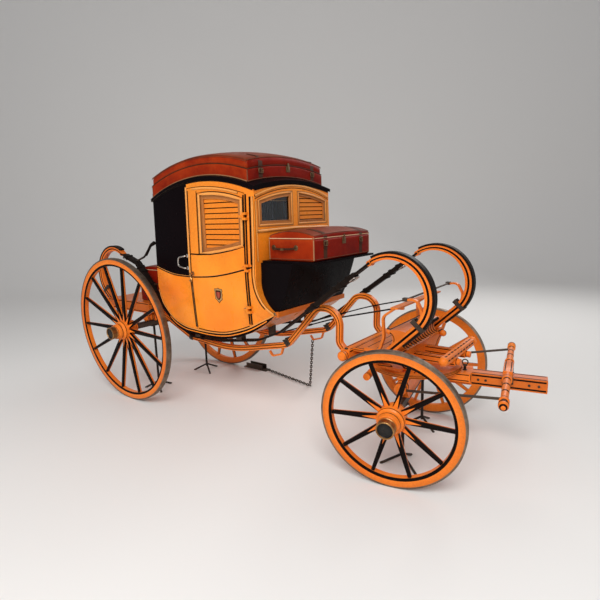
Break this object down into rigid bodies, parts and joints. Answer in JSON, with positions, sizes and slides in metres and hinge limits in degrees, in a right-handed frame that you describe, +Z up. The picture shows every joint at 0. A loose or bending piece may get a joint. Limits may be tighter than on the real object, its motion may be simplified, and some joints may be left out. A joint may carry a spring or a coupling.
{
  "type": "travelling chariot",
  "caption": "Horse-drawn sleeping travelling chariot: hung body with luggage trunks, C-springs on crane-neck perches, turning fore-carriage and wooden wheels.",
  "frame": {"origin": "on the floor, under the middle of the whole vehicle's length and width", "axes": "+X forward, +Y to the vehicle's left, +Z up"},
  "size_m": [4.5006, 1.7184, 2.372],
  "materials": {
    "orange_paint": "varnished",
    "wheel_paint": "varnished",
    "iron_tyre": "worn",
    "cap_brass": "aged",
    "body_paint": "varnished",
    "black_varnish": "gloss",
    "black_iron": "painted",
    "black_leather": "worn",
    "red_leather": "waxed",
    "clear_glass": "clear",
    "cloth": "woven"
  },
  "bodies": {
    "carriage": {"rear_axle": "black_iron", "rear_bed": "orange_paint", "rear_deck": "orange_paint", "front_transom": "orange_paint", "perches": "orange_paint", "perch_hooks": "black_iron", "rear_springs": "orange_paint", "front_springs": "orange_paint", "spring_leathers": "black_leather", "main_braces": "black_leather", "rear_grips": "black_iron", "long_bars": "orange_paint", "upper_bed": "orange_paint", "platform": "orange_paint", "front_crossbar": "orange_paint", "scroll_irons": "orange_paint", "step_irons": "orange_paint", "check_straps": "black_leather", "body_irons": "black_iron", "body_shell": "body_paint", "door_hinges": "black_iron", "roof": "black_varnish", "front_glass": "clear_glass", "front_shutter": "orange_paint", "boot": "black_varnish", "toe_board": "orange_paint", "tray": "black_varnish", "bench": "cloth", "front_trunk": "red_leather", "roof_trunk": "red_leather", "rear_trunk": "red_leather", "axle_stands": "black_iron", "drag_chain": "black_iron", "drag_shoe": "black_iron"},
    "fore_carriage": {"front_axle": "black_iron", "front_bed": "orange_paint", "futchells": "orange_paint", "pole_stub": "orange_paint", "splinter_bar": "orange_paint", "splinter_stays": "black_iron"},
    "near_rear_wheel": {"near_rear_wheel": "wheel_paint", "near_rear_tyre": "iron_tyre", "near_rear_hub_cap": "cap_brass"},
    "far_rear_wheel": {"far_rear_wheel": "wheel_paint", "far_rear_tyre": "iron_tyre", "far_rear_hub_cap": "cap_brass"},
    "near_front_wheel": {"near_front_wheel": "wheel_paint", "near_front_tyre": "iron_tyre", "near_front_hub_cap": "cap_brass"},
    "far_front_wheel": {"far_front_wheel": "wheel_paint", "far_front_tyre": "iron_tyre", "far_front_hub_cap": "cap_brass"},
    "near_door": {"near_door": "orange_paint", "near_shutter": "orange_paint"},
    "far_door": {"far_door": "orange_paint", "far_shutter": "orange_paint"},
    "front_trunk_lid": {"front_trunk_lid": "red_leather"},
    "roof_trunk_lid": {"roof_trunk_lid": "red_leather"},
    "rear_trunk_lid": {"rear_trunk_lid": "red_leather"}
  },
  "joints": [
    {"name": "steering", "type": "hinge", "parent": "carriage", "child": "fore_carriage", "pos_m": [1.34462, 0, 0.655], "axis": [0, 0, 1], "range_deg": [-71, 49]},
    {"name": "near_rear_wheel_spin", "type": "hinge", "parent": "carriage", "child": "near_rear_wheel", "pos_m": [-1.43238, -0.7385, 0.72401], "axis": [0, -0.9986, -0.0523], "continuous": true},
    {"name": "far_rear_wheel_spin", "type": "hinge", "parent": "carriage", "child": "far_rear_wheel", "pos_m": [-1.43238, 0.7385, 0.72401], "axis": [0, 0.9986, -0.0523], "continuous": true},
    {"name": "near_front_wheel_spin", "type": "hinge", "parent": "fore_carriage", "child": "near_front_wheel", "pos_m": [1.47914, -0.69205, 0.47883], "axis": [0.1903, -0.9792, -0.0698], "continuous": true},
    {"name": "far_front_wheel_spin", "type": "hinge", "parent": "fore_carriage", "child": "far_front_wheel", "pos_m": [1.2101, 0.69205, 0.47883], "axis": [-0.1903, 0.9792, -0.0698], "continuous": true},
    {"name": "near_door_hinge", "type": "hinge", "parent": "carriage", "child": "near_door", "pos_m": [0.13962, -0.55232, 1.33], "axis": [0, 0, 1], "range_deg": [0, 90]},
    {"name": "far_door_hinge", "type": "hinge", "parent": "carriage", "child": "far_door", "pos_m": [0.13962, 0.55232, 1.33], "axis": [0, 0, -1], "range_deg": [0, 90]},
    {"name": "front_trunk_lid_hinge", "type": "hinge", "parent": "carriage", "child": "front_trunk_lid", "pos_m": [0.28162, 0, 1.622], "axis": [0, -1, 0], "range_deg": [0, 55]},
    {"name": "roof_trunk_lid_hinge", "type": "hinge", "parent": "carriage", "child": "roof_trunk_lid", "pos_m": [-1.04238, 0, 2.10223], "axis": [0, -1, 0], "range_deg": [0, 75]},
    {"name": "rear_trunk_lid_hinge", "type": "hinge", "parent": "carriage", "child": "rear_trunk_lid", "pos_m": [-1.07238, 0, 1.285], "axis": [0, 1, 0], "range_deg": [0, 60]}
  ]
}
